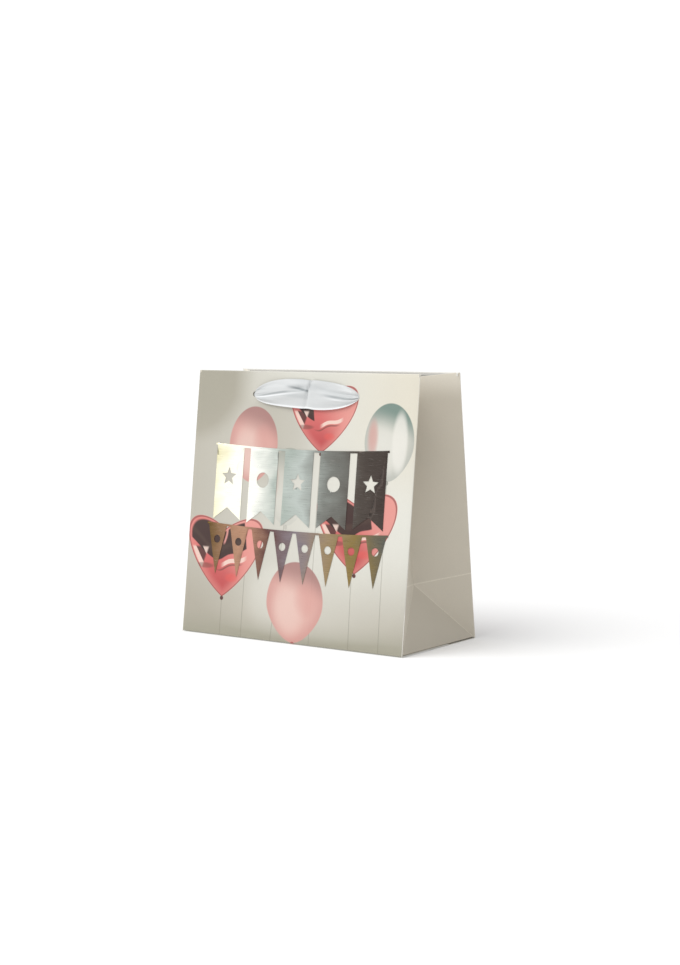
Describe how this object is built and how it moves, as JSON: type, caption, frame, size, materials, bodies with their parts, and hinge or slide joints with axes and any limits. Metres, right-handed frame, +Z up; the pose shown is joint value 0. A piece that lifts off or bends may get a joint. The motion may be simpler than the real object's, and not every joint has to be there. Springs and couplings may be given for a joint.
{
  "type": "gift bag",
  "caption": "Paper gift bag with V-folded sides, a pinched mouth, foil garlands and satin ribbon handles, folding flat on its bottom creases.",
  "frame": {"origin": "middle of the underside, on the surface the bag stands on", "axes": "+Z up, +X along the width to the right as seen from the front, the printed front faces -Y"},
  "size_m": [0.24, 0.1199, 0.2384],
  "materials": {
    "printed_paper": "coated art paper, printed with a pale balloon pattern",
    "side_paper": "coated art paper, plain warm grey",
    "white_paper": "uncoated white back of the paper",
    "grey_board": "grey board",
    "satin_ribbon": "white satin ribbon",
    "silver_foil": "brushed silver hot-stamped foil",
    "copper_foil": "brushed copper hot-stamped foil"
  },
  "bodies": {
    "base": {"base_board": "grey_board", "bottom_flap_front": "printed_paper", "bottom_flap_back": "printed_paper", "bottom_flap_left": "side_paper", "bottom_flap_right": "side_paper", "right_web_front": "side_paper", "right_web_rear": "side_paper", "left_web_front": "side_paper", "left_web_rear": "side_paper"},
    "front": {"front_panel": "printed_paper", "front_card": "grey_board", "front_hem": "white_paper", "front_foil_banners": "silver_foil", "front_foil_pennants": "copper_foil", "front_tail_left": "satin_ribbon", "front_tail_right": "satin_ribbon", "right_gusset_front": "side_paper", "left_gusset_front": "side_paper", "right_gusset_hem_front": "white_paper", "left_gusset_hem_front": "white_paper"},
    "front_handle": {"front_ribbon": "satin_ribbon"},
    "front_knots": {"front_knot_left": "satin_ribbon", "front_knot_right": "satin_ribbon"},
    "back_foot": {"back_panel_foot": "printed_paper"},
    "back": {"back_panel": "printed_paper", "back_card": "grey_board", "back_hem": "white_paper", "back_foil_banners": "silver_foil", "back_tail_left": "satin_ribbon", "back_tail_right": "satin_ribbon", "glue_flap": "white_paper", "right_gusset_rear": "side_paper", "left_gusset_rear": "side_paper", "right_gusset_hem_rear": "white_paper", "left_gusset_hem_rear": "white_paper"},
    "back_handle": {"back_ribbon": "satin_ribbon"},
    "back_knots": {"back_knot_left": "satin_ribbon", "back_knot_right": "satin_ribbon"},
    "right_foot": {"right_gusset_foot": "side_paper"},
    "left_foot": {"left_gusset_foot": "side_paper"}
  },
  "joints": [
    {"name": "front_fold", "type": "hinge", "parent": "base", "child": "front", "pos_m": [0, -0.05909, 0.0044], "axis": [-1, 0, 0], "range_deg": [0, 78.4], "deforming": ["left_web_front", "left_web_rear", "right_web_front", "right_web_rear", "left_gusset_front", "left_gusset_hem_front", "left_gusset_hem_rear", "left_gusset_rear", "right_gusset_front", "right_gusset_hem_front", "right_gusset_hem_rear", "right_gusset_rear"]},
    {"name": "back_foot_fold", "type": "hinge", "parent": "base", "child": "back_foot", "pos_m": [0, 0.05909, 0.0044], "axis": [1, 0, 0], "range_deg": [0, 80.4]},
    {"name": "back_fold", "type": "hinge", "parent": "back_foot", "child": "back", "pos_m": [0, 0.0531, 0.0596], "axis": [-1, 0, 0], "range_deg": [0, 178]},
    {"name": "right_foot_fold", "type": "hinge", "parent": "base", "child": "right_foot", "pos_m": [0.11782, 0, 0.0034], "axis": [0, -1, 0], "range_deg": [0, 62.4]},
    {"name": "left_foot_fold", "type": "hinge", "parent": "base", "child": "left_foot", "pos_m": [-0.11782, 0, 0.0034], "axis": [0, 1, 0], "range_deg": [0, 62.4]},
    {"name": "front_handle_pull", "type": "slide", "parent": "front", "child": "front_handle", "axis": [0, 0.1149, 0.9934], "range_m": [0, 0.06], "deforming": ["front_tail_left", "front_tail_right"]},
    {"name": "front_knots_draw", "type": "slide", "parent": "front", "child": "front_knots", "axis": [0, 0.1149, 0.9934], "range_m": [0, 0.03]},
    {"name": "back_handle_pull", "type": "slide", "parent": "back", "child": "back_handle", "axis": [0, -0.1149, 0.9934], "range_m": [0, 0.06], "deforming": ["back_tail_left", "back_tail_right"]},
    {"name": "back_knots_draw", "type": "slide", "parent": "back", "child": "back_knots", "axis": [0, -0.1149, 0.9934], "range_m": [0, 0.03]}
  ],
  "couplings": [
    {"joint": "back_foot_fold", "follows": "front_fold", "ratio": 1.0255},
    {"joint": "back_fold", "follows": "front_fold", "ratio": 2.2704},
    {"joint": "right_foot_fold", "follows": "front_fold", "ratio": 0.7959},
    {"joint": "left_foot_fold", "follows": "front_fold", "ratio": 0.7959},
    {"joint": "front_knots_draw", "follows": "front_handle_pull", "ratio": 0.5},
    {"joint": "back_knots_draw", "follows": "back_handle_pull", "ratio": 0.5}
  ]
}
